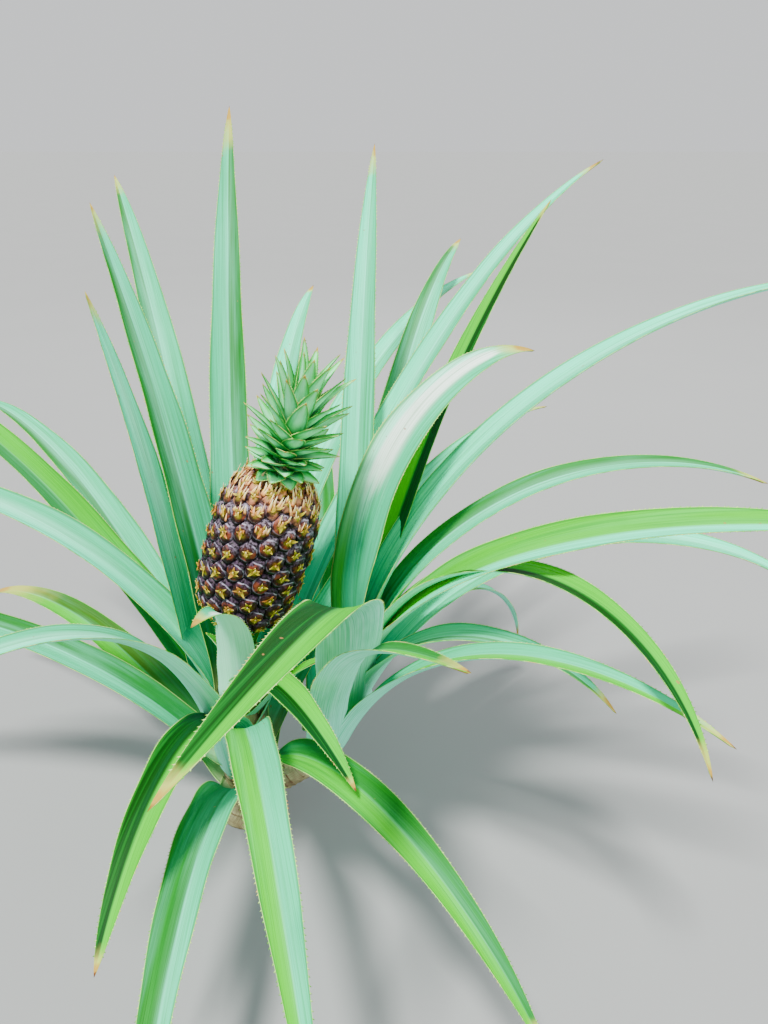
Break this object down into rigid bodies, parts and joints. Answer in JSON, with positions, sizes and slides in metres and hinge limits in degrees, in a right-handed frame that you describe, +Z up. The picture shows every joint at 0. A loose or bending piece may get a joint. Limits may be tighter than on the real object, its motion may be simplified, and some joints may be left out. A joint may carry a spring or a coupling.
{
  "type": "pineapple plant",
  "caption": "Pineapple plant in fruit: a short stem in a rosette of long channelled leaves, a stalked fruit with its crown, and a leafy side shoot from the same foot.",
  "frame": {"origin": "middle of the flat cut under the main stem, at ground level", "axes": "+Z up along the main stem, +X to the viewer's right towards the side shoot, +Y away from the viewer"},
  "size_m": [1.2418, 1.0617, 0.7886],
  "materials": {
    "leaf": "waxy, pale bloom",
    "crown": "waxy",
    "fruit": "semi-gloss rind",
    "stem": "matt"
  },
  "bodies": {
    "root": {"crown": "crown", "fruit": "fruit", "fruit_stalk": "stem", "leaf_01": "leaf", "leaf_01_tip": "leaf", "leaf_02": "leaf", "leaf_02_tip": "leaf", "leaf_03": "leaf", "leaf_04": "leaf", "leaf_04_tip": "leaf", "leaf_05": "leaf", "leaf_05_tip": "leaf", "leaf_06": "leaf", "leaf_07": "leaf", "leaf_08": "leaf", "leaf_09": "leaf", "leaf_09_tip": "leaf", "leaf_10": "leaf", "leaf_11": "leaf", "leaf_12": "leaf", "leaf_12_tip": "leaf", "leaf_13": "leaf", "leaf_13_tip": "leaf", "leaf_14": "leaf", "leaf_15": "leaf", "leaf_16": "leaf", "leaf_17": "leaf", "leaf_18": "leaf", "leaf_19": "leaf", "leaf_20": "leaf", "leaf_21": "leaf", "leaf_22": "leaf", "leaf_23": "leaf", "main_stem": "stem", "shoot_leaf_01": "leaf", "shoot_leaf_01_tip": "leaf", "shoot_leaf_02": "leaf", "shoot_leaf_03": "leaf", "shoot_leaf_04": "leaf", "shoot_leaf_04_tip": "leaf", "shoot_leaf_05": "leaf", "shoot_leaf_05_tip": "leaf", "shoot_leaf_06": "leaf", "shoot_leaf_06_tip": "leaf", "shoot_leaf_07": "leaf", "shoot_leaf_07_tip": "leaf", "shoot_leaf_08": "leaf", "shoot_leaf_09": "leaf", "shoot_leaf_09_tip": "leaf", "shoot_leaf_10": "leaf", "shoot_leaf_11": "leaf", "shoot_leaf_11_tip": "leaf", "shoot_leaf_12": "leaf", "shoot_leaf_12_tip": "leaf", "shoot_leaf_13": "leaf", "shoot_leaf_14": "leaf", "shoot_leaf_15": "leaf", "shoot_leaf_15_tip": "leaf", "shoot_stem": "stem"}
  },
  "joints": []
}
